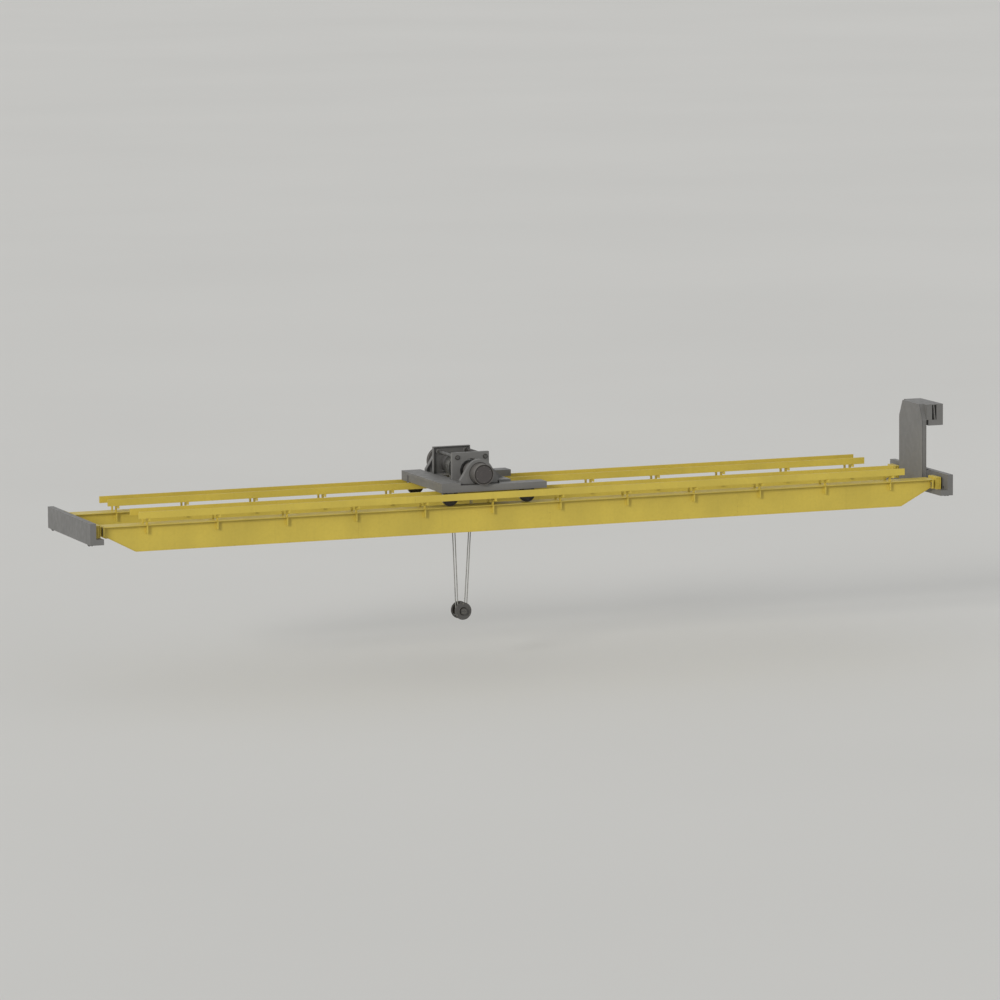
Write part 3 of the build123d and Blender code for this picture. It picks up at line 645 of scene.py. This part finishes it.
def rope_falls():
    """The four falls, from under the sheaves up to the drum and to the anchor."""
    winding, standing = Pile(), Pile()
    anchor_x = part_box("fixed_ropes")[1].x - ROPE_RADIUS
    for _, side in FRONT_BACK:
        left = Vector((BLOCK.x - SHEAVE_CIRCLE, side * SHEAVE_OFFSET, BLOCK.z + FALL_GAP))
        right = Vector((BLOCK.x + SHEAVE_CIRCLE, side * SHEAVE_OFFSET, BLOCK.z + FALL_GAP))
        lead = Vector((HOIST.x - ROPE_CIRCLE, side * ROPE_LEAD, HOIST.z))
        anchor = Vector((anchor_x, side * STANDING_OFFSET, ANCHOR_LOW))
        winding.put(stranded(fall_stations(left, lead)))
        standing.put(stranded(fall_stations(right, anchor)))
    winding_ends = (winding, "rope_falls_winding", "drum_ropes", HOIST.z)
    standing_ends = (standing, "rope_falls_standing", "fixed_ropes", ANCHOR_LOW)
    for pile, name, node, top in (winding_ends, standing_ends):
        falls = pile.piece(name, WIRE, "trolley", "wire_rope", True)
        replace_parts(falls, node)
        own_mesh(falls)


def rope_half_turns():
    """The half turns of rope under the sheaves."""
    bights = Pile()
    count = int(pi * SHEAVE_CIRCLE / FALL_STEP)
    for _, side in FRONT_BACK:
        stations = []
        for index in range(count + 1):
            angle = -pi * index / count
            out = Vector((cos(angle), 0, sin(angle)))
            centre = Vector((BLOCK.x, side * SHEAVE_OFFSET, BLOCK.z)) + out * SHEAVE_CIRCLE
            stations.append((centre, out, ALONG_Y, index * FALL_STEP))
        bights.put(stranded(stations))
    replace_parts(bights.piece("rope_under_sheaves", WIRE, "block", "wire_rope", True), "rope_bights")


def rope_sockets():
    """Tapered sockets that hold the standing ropes, the anchor's bolts, and end collars coloured near black as
    painted shade.
    """
    low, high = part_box("rope_anchor")
    rod_x, rod_z = high.x - ANCHOR_RADIUS, high.z - ANCHOR_RADIUS
    anchor_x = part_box("fixed_ropes")[1].x - ROPE_RADIUS
    sleeve = [
        (0.0, 0.027), (0.030, 0.027), (0.040, 0.024), (0.150, 0.0175), (0.156, 0.0155), (0.156, 0.0135),
    ]
    collar = [
        (0.0, 0.064), (0.0, 0.071), (0.003, 0.074), (0.032, 0.074), (0.035, 0.071), (0.035, 0.064),
    ]
    pile, collars = Pile(), Pile()
    for _, side in FRONT_BACK:
        pile.put(turned(sleeve, 32), facing((anchor_x, side * STANDING_OFFSET, low.z), (0, 0, -1)))
        collars.put(turned_ring(collar, 64), facing((rod_x, side * 0.500, rod_z), (0, side, 0)))
    for rise in (0.022, 0.056):
        bolts(pile, M12, [(low.x, y, low.z + rise) for y in (-0.060, 0.0, 0.060)], -ALONG_X)
    pile.piece("rope_sockets", ZINC, "trolley", "bare_steel")
    # The end collars are near black: painted shade at the anchor's ends.
    collars.piece("anchor_collars", PAINTED_SHADE, "trolley", "bare_steel")


def rope_block():
    """The block: eased cheeks, hubs with a groove, axle, collars and tie pins with nuts, with painted shade on
    the cheeks' inner faces and in the hub grooves.
    """
    cheek, fittings, grease = Pile(), Pile(), Pile()
    # Painted shade, gathered in the grease pile: near-black rings on the cheeks' inner faces and in the
    # grooves round the hubs.
    inner_face = band(0.1285, 0.1305, 0.062, 0.175)
    hub_floor = [
        (0.1515, 0.0775), (0.1515, 0.099), (0.156, 0.099), (0.156, 0.0815),
        (0.178, 0.0810), (0.178, 0.0775),
    ]
    outline = [
        (0.130, 0.040), (0.130, 0.212), (0.134, 0.216), (0.146, 0.216), (CHEEK_FACE, 0.212),
        (CHEEK_FACE, 0.114), (0.158, 0.108), (0.162, 0.106), (0.163, 0.103), (0.163, 0.1005),
        (0.162, 0.0995), (0.152, 0.0995), (0.152, 0.079), (0.222, 0.078), (0.227, 0.075),
        (HUB_FACE, 0.072), (HUB_FACE, 0.0), (0.130, 0.0),
    ]
    for _, side in FRONT_BACK:
        place = facing(BLOCK, (0, side, 0))
        cheek.put(turned(outline, 96), place)
        grease.put(turned_ring(inner_face, 96), place)
        grease.put(turned_ring(hub_floor, 96), place)
        for index in range(3):
            angle = pi / 2 + index * 2 * pi / 3
            spot = BLOCK + Vector((PIN_CIRCLE * cos(angle), side * CHEEK_FACE, PIN_CIRCLE * sin(angle)))
            bolts(fittings, M20, [spot], (0, side, 0))
        for index in range(4):
            angle = pi / 4 + index * pi / 2
            spot = BLOCK + Vector((0.045 * cos(angle), side * HUB_FACE, 0.045 * sin(angle)))
            bolts(fittings, M12, [spot], (0, side, 0))
    pin = [(-0.129, 0.014), (0.129, 0.014)]
    for index in range(3):
        angle = pi / 2 + index * 2 * pi / 3
        spot = BLOCK + Vector((PIN_CIRCLE * cos(angle), 0, PIN_CIRCLE * sin(angle)))
        cheek.put(turned(pin, 20), facing(spot, ALONG_Y))
    cheek.put(turned([(-0.129, 0.035), (0.129, 0.035)], 40), facing(BLOCK, ALONG_Y))
    cheek.put(turned([(-0.048, 0.060), (0.048, 0.060)], 40), facing(BLOCK, ALONG_Y))
    for _, side in FRONT_BACK:
        cheek.put(turned([(0.1015, 0.060), (0.129, 0.060)], 40), facing(BLOCK, (0, side, 0)))
    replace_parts(cheek.piece("rope_block_dressed", BLOCK_PAINT, "block", "grey_paint"), "rope_block")
    grease.piece("rope_block_painted_shade", PAINTED_SHADE, "block", "grey_paint")
    fittings.piece("rope_block_bolts", ZINC, "block", "bare_steel")


def sheaves():
    """Sheaves with round grooves and dished sides."""
    right = [
        (0.025, 0.0365), (0.025, 0.050), (0.016, 0.054), (0.016, 0.084), (0.025, 0.090),
        (0.025, 0.131), (0.023, 0.1335), (0.0205, 0.1335),
    ]
    seat = 0.0138
    turns = [radians(turn) for turn in range(15, 91, 15)]
    groove = [(seat * cos(turn), SHEAVE_CIRCLE - seat * sin(turn)) for turn in turns]
    outline = mirrored(right + [(0.0185, 0.1325)] + groove)
    for where, side in FRONT_BACK:
        node = f"sheave_{where}"
        wheel = Pile()
        place = facing(Vector((BLOCK.x, side * SHEAVE_OFFSET, BLOCK.z)), ALONG_Y)
        wheel.put(turned_ring(outline, 96), place)
        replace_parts(wheel.piece(f"{node}_dressed", CAST_IRON, node, "wheel_iron"), node)


def tie_rod_ends():
    """The two tie rods with threaded ends, and their washers and hexagon nuts."""
    low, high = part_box("hoist_tie_rods")
    plate_face = -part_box("hoist_plate_front")[0].y
    rod_z = (low.z + high.z) / 2
    rods, nuts = Pile(), Pile()
    shaft = [(-plate_face, 0.038), (plate_face, 0.038)]
    thread = [(plate_face + 0.002 * step, 0.0355 + 0.0025 * (step % 2)) for step in range(17)]
    washer = [(plate_face, 0.0598), (plate_face + 0.007, 0.0598), (plate_face + 0.008, 0.058)]
    nut = [(plate_face + 0.008, 0.0575), (plate_face + 0.026, 0.0575), (plate_face + 0.030, 0.050)]
    for x in (low.x + TIE_ROD_INSET, high.x - TIE_ROD_INSET):
        rods.put(turned(shaft, 40), facing((x, 0, rod_z), ALONG_Y))
        for _, side in FRONT_BACK:
            place = facing((x, 0, rod_z), (0, side, 0))
            rods.put(turned(thread, 32), place)
            nuts.put(turned(washer, 48), place)
            nuts.put(turned(nut, 6), place)
    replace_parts(rods.piece("hoist_tie_rods_dressed", OILED_STEEL, "trolley", "bare_steel"), "hoist_tie_rods")
    nuts.piece("hoist_tie_rod_nuts", CAST_IRON, "trolley", "bare_steel")


def block_details(seams, heads, where, end, centre):
    """The bolted connection at a girder's end, and the seams of its neck and block."""
    low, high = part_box(f"girder_{where}_end_{end}")
    side = -1 if end == "left" else 1
    start = high.x if side < 0 else low.x
    plate_end = start + side * END_PLATE
    block_start = start + side * (END_PLATE + END_NECK)
    block_end = low.x if side < 0 else high.x
    top = high.z - 0.050
    for offset in (-0.180, 0.180):
        rows = [(centre + offset, top - drop) for drop in (0.045, 0.092, 0.140, 0.187)]
        bolts(heads, M24, [(plate_end, y, z) for y, z in rows], (side, 0, 0))
        bolts(heads, M24, [(start, y, z) for y, z in rows if z < top - 0.05], (-side, 0, 0))
    out_x = Vector((side, 0, 0))
    for direction in (-1, 1):
        out = Vector((0, direction, 0))
        y = centre + direction * END_NECK_HALF
        weld(seams, (plate_end, y, low.z + 0.030), (plate_end, y, top), out, out_x, 0.007)
        weld(seams, (block_start, y, low.z + 0.030), (block_start, y, top), out, -out_x, 0.007)
        edge = centre + direction * END_BLOCK_HALF
        weld(seams, (block_start, edge, low.z), (block_end, edge, low.z), out, ALONG_Z, 0.006)
    first, last = centre - END_BLOCK_HALF, centre + END_BLOCK_HALF
    weld(seams, (block_end, first, low.z), (block_end, last, low.z), out_x, ALONG_Z, 0.007)
    first, last = first + END_NECK_HALF, last - END_NECK_HALF
    weld(seams, (start, first, top), (start, last, top), -out_x, ALONG_Z, 0.004)


def girder_details():
    """Long fillets between webs and flanges, web splices, and the joints at the girders' ends."""
    for where, _ in FRONT_BACK:
        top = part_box(f"girder_{where}_top_flange")
        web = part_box(f"girder_{where}_webs")
        centre = (web[0].y + web[1].y) / 2
        half = (web[1].y - web[0].y) / 2
        seams, heads = Pile(), Pile()
        for direction in (-1, 1):
            y = centre + direction * half
            out = Vector((0, direction, 0))
            weld(seams, (top[0].x, y, top[0].z), (top[1].x, y, top[0].z), out, -ALONG_Z)
            mid_x = (top[0].x + top[1].x) / 2
            first, last = mid_x - GIRDER_FLAT_HALF, mid_x + GIRDER_FLAT_HALF
            low_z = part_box(f"girder_{where}_bottom_flange")[0].z + BOTTOM_FLANGE
            weld(seams, (first, y, low_z), (last, y, low_z), out, ALONG_Z, 0.007)
            for share in (-0.5, 0.0, 0.5):
                x = mid_x + share * GIRDER_FLAT_HALF + SPLICE_SHIFT
                weld(seams, (x, y, low_z), (x, y, top[0].z), out, ALONG_X, 0.005)
                weld(seams, (x, y, low_z), (x, y, top[0].z), out, -ALONG_X, 0.005)
        for end in ("left", "right"):
            block_details(seams, heads, where, end, centre)
        seams.piece(f"girder_{where}_welds", YELLOW_PAINT, "bridge", "yellow_paint")
        heads.piece(f"girder_{where}_bolts", ZINC, "bridge", "bare_steel")


def bracket_details():
    """The seams of every bracket: its foot, its rib under the flange and its seat under the bar."""
    for where, _ in FRONT_BACK:
        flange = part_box(f"girder_{where}_top_flange")
        bar_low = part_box(f"guard_bars_{where}")[0].z
        centre = (flange[0].y + flange[1].y) / 2
        seams = Pile()
        for row in ("outer", "inner"):
            low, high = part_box(f"brackets_{where}_{row}")
            direction = 1 if (low.y + high.y) / 2 > centre else -1
            out = Vector((0, direction, 0))
            spans = (
                (0.120, 0.190, flange[1].z, ALONG_Z, 0.006),
                (0.120, 0.215, flange[0].z, -ALONG_Z, 0.006),
                (0.312, 0.362, bar_low, -ALONG_Z, 0.006),
            )
            for index in range(BRACKETS):
                step = (high.x - low.x - BRACKET_PLATE) / (BRACKETS - 1)
                middle_x = low.x + BRACKET_PLATE / 2 + index * step
                for face in (-1, 1):
                    x = middle_x + face * BRACKET_PLATE / 2
                    away = ALONG_X * face
                    for first, last, z, rise, leg in spans:
                        start, end = (x, centre + direction * first, z), (x, centre + direction * last, z)
                        weld(seams, start, end, away, rise, leg)
                    web = centre + direction * 0.120
                    weld(seams, (x, web, low.z), (x, web, flange[0].z), away, out, 0.005)
        seams.piece(f"bracket_welds_{where}", YELLOW_PAINT, "bridge", "yellow_paint")


def bar_details():
    """The butt joints along the guard bars."""
    for where, _ in FRONT_BACK:
        low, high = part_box(f"guard_bars_{where}")
        mid_x = (low.x + high.x) / 2
        joints = Pile()
        for y in (low.y + BAR_HALF, high.y - BAR_HALF):
            for share in (-2 / 3, -1 / 3, 0, 1 / 3, 2 / 3):
                x = mid_x + share * (high.x - low.x) / 2 + BAR_JOINT_SHIFT
                for face in (-1, 1):
                    edge = y + face * BAR_HALF
                    out = Vector((0, face, 0))
                    weld(joints, (x, edge, low.z), (x, edge, high.z), out, ALONG_X, 0.004)
                    weld(joints, (x, edge, low.z), (x, edge, high.z), out, -ALONG_X, 0.004)
        joints.piece(f"guard_bar_joints_{where}", YELLOW_PAINT, "bridge", "yellow_paint")


def hoist_base_details():
    """Bolts of the pedestals, and painted shade along their feet and in their slots."""
    heads, shade_marks = Pile(), Pile()
    for where, side in FRONT_BACK:
        low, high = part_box(f"hoist_pedestal_{where}")
        base = low.z + PEDESTAL_FOOT
        row = low.y + 0.045 if side > 0 else high.y - 0.045
        spots = [(HOIST.x + offset, row, base) for offset in PEDESTAL_BOLTS]
        bolts(heads, M20, spots, ALONG_Z)
        face = high.y if side > 0 else low.y
        # Painted shade: near-black fillets along each pedestal's foot, and a near-black plate set inside the
        # slot.
        for x0, x1 in ((low.x, high.x - SLOT_FAR), (high.x - SLOT_NEAR, high.x)):
            weld(shade_marks, (x0, face, low.z), (x1, face, low.z), Vector((0, side, 0)), ALONG_Z, 0.018)
        near, far = sorted((face - side * 0.034, face - side * 0.029))
        slot_low = (high.x - 0.043, near, low.z + 0.001)
        slot_high = (high.x - 0.009, far, low.z + 0.071)
        shade_marks.put(plate(slot_low, slot_high, 0.001))
    shade_marks.piece("hoist_base_painted_shade", PAINTED_SHADE, "trolley", "grey_paint")
    heads.piece("hoist_base_bolts", ZINC, "trolley", "bare_steel")


def trolley_seams():
    """Seams along the hoist plates' feet and between the cap and the side beams."""
    seams = Pile()
    beam_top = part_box("trolley_beam_front")[1].z
    cap_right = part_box("trolley_cross_left")[1].x
    for where, side in FRONT_BACK:
        out = Vector((0, side, 0))
        low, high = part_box(f"hoist_plate_{where}")
        foot = high.y if side > 0 else low.y
        weld(seams, (low.x, foot, low.z), (HOIST.x - 0.22, foot, low.z), out, ALONG_Z, 0.008)
        weld(seams, (HOIST.x + 0.22, foot, low.z), (high.x, foot, low.z), out, ALONG_Z, 0.008)
        low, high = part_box(f"trolley_beam_{where}")
        outside = high.y if side > 0 else low.y
        weld(seams, (low.x, outside, beam_top), (cap_right, outside, beam_top), out, ALONG_Z, 0.003)
    seams.piece("trolley_welds", GREY_PAINT, "trolley", "grey_paint")


def axle_keepers():
    """A bolted keeper plate above each end of each trolley axle."""
    keepers = Pile()
    for where, _ in FRONT_BACK:
        for wheel in ("left", "right"):
            centre = middle(f"trolley_wheel_{where}_{wheel}")
            for direction in (-1, 1):
                y = centre.y + direction * TROLLEY_AXLE_HALF
                face = y + direction * 0.008
                low_corner = (centre.x - 0.060, min(y, face), centre.z + 0.034)
                high_corner = (centre.x + 0.060, max(y, face), centre.z + 0.062)
                keepers.put(plate(low_corner, high_corner, 0.0015))
                spots = [(centre.x + shift, face, centre.z + 0.048) for shift in (-0.045, 0.045)]
                bolts(keepers, M12, spots, (0, direction, 0))
    keepers.piece("axle_keepers", ZINC, "trolley", "bare_steel")


def mast_details():
    """Fillets where the arm meets the mast and the carriage, and along the mast's ribs."""
    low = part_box("mast")[0]
    arm_low, arm_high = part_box("mast_arm")
    seams = Pile()
    for x, along, half in ((arm_low.x, ALONG_X, ARM_HALF), (arm_high.x, -ALONG_X, ARM_NECK_HALF)):
        for side in (-1, 1):
            y = side * half
            weld(seams, (x, y, arm_low.z), (x, y, arm_high.z - 0.020), Vector((0, side, 0)), along, 0.010)
        weld(seams, (x, -half, arm_low.z), (x, half, arm_low.z), -ALONG_Z, along, 0.010)
    truck_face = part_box("truck_right")[1].x - TRUCK_BOX_WIDE
    for side in (-1, 1):
        for face in (-1, 1):
            y = side * MAST_RIB_PLACE + face * MAST_RIB_HALF
            out = Vector((0, face, 0))
            weld(seams, (truck_face, y, low.z), (truck_face, y, low.z + MAST_RIB_TALL), -ALONG_X, out, 0.006)
    seams.piece("mast_welds", GREY_PAINT, "bridge", "grey_paint")


NODE_MATERIALS = (
    (("girder", "guard", "brackets"), YELLOW_PAINT),
    (("truck_wheel", "trolley_wheel", "sheave"), CAST_IRON),
    (("hoist_unit",), DRIVE_PAINT),
    (("hoist_plate",), HOIST_PAINT),
    (("drum_rope", "fixed_ropes", "rope_bights"), WIRE),
    (("rope_anchor",), CAST_IRON),
    (("hoist_tie", "drum"), OILED_STEEL),
)


def dress_nodes():
    """Give every CAD node its material and ease the edges of the plates."""
    for name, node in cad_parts.items():
        material = next((made for starts, made in NODE_MATERIALS if name.startswith(starts)), GREY_PAINT)
        node.data.materials.clear()
        node.data.materials.append(material)
        if not node.hide_render:
            weld_points = node.modifiers.new("join", "WELD")
            weld_points.merge_threshold = 0.0001
            ease = node.modifiers.new("ease", "BEVEL")
            ease.width = 0.003
            ease.segments = 2
            ease.limit_method = "ANGLE"
            ease.angle_limit = radians(40)


def studio():
    """The pale floor, the sky and the sun."""
    scene = bpy.context.scene
    scene.view_settings.view_transform = "Standard"
    depth = cad_box[0].z - FLOOR_DROP
    mesh = bpy.data.meshes.new("floor")
    reach = FLOOR_REACH
    corners = [(-reach, -reach, depth), (reach, -reach, depth), (reach, reach, depth), (-reach, reach, depth)]
    mesh.from_pydata(corners, [], [(0, 1, 2, 3)])
    material, tree, shader, place = new_material("pale_floor")
    patch = spread(tree, noise(tree, place, 0.05), 0.3, 0.7)
    tree.links.new(tint(tree, patch, shade(PALE, 0.985), PALE), shader.inputs["Base Color"])
    shader.inputs["Roughness"].default_value = 0.9
    mesh.materials.append(material)
    floor = bpy.data.objects.new("floor", mesh)
    scene.collection.objects.link(floor)
    world = bpy.data.worlds.new("sky")
    world.use_nodes = True
    world.node_tree.nodes["Background"].inputs["Color"].default_value = (1, 1, 1, 1)
    world.node_tree.nodes["Background"].inputs["Strength"].default_value = SKY_STRENGTH
    scene.world = world
    sun = bpy.data.lights.new("sun", "SUN")
    sun.energy = SUN_STRENGTH
    sun.color = SUN_COLOUR
    sun.angle = radians(SUN_SOFTNESS)
    lamp = bpy.data.objects.new("sun", sun)
    lamp.rotation_euler = (radians(SUN_TILT), 0, radians(SUN_TURN))
    scene.collection.objects.link(lamp)


def camera():
    """The camera at the photograph's place and angle."""
    yaw, pitch, roll = radians(CAMERA_YAW), radians(CAMERA_PITCH), radians(CAMERA_ROLL)
    forward = Vector((sin(yaw) * cos(pitch), cos(yaw) * cos(pitch), sin(pitch)))
    level = Vector((cos(yaw), -sin(yaw), 0))
    rise = level.cross(forward)
    right = level * cos(roll) + rise * sin(roll)
    up = rise * cos(roll) - level * sin(roll)
    data = bpy.data.cameras.new("camera")
    data.sensor_width = CAMERA_SENSOR
    data.lens = CAMERA_LENS
    data.clip_start, data.clip_end = 1, 4000
    made = bpy.data.objects.new("camera", data)
    made.matrix_world = Matrix.Translation(CAMERA_PLACE) @ Matrix((right, up, -forward)).transposed().to_4x4()
    bpy.context.scene.collection.objects.link(made)
    bpy.context.scene.camera = made


camera()
studio()
trolley_wheels()
truck_wheels()
drive_units()
grooved_drum()
wound_rope()
rope_falls()
rope_half_turns()
rope_sockets()
rope_block()
sheaves()
tie_rod_ends()
girder_details()
bracket_details()
bar_details()
hoist_base_details()
trolley_seams()
axle_keepers()
mast_details()
dress_nodes()
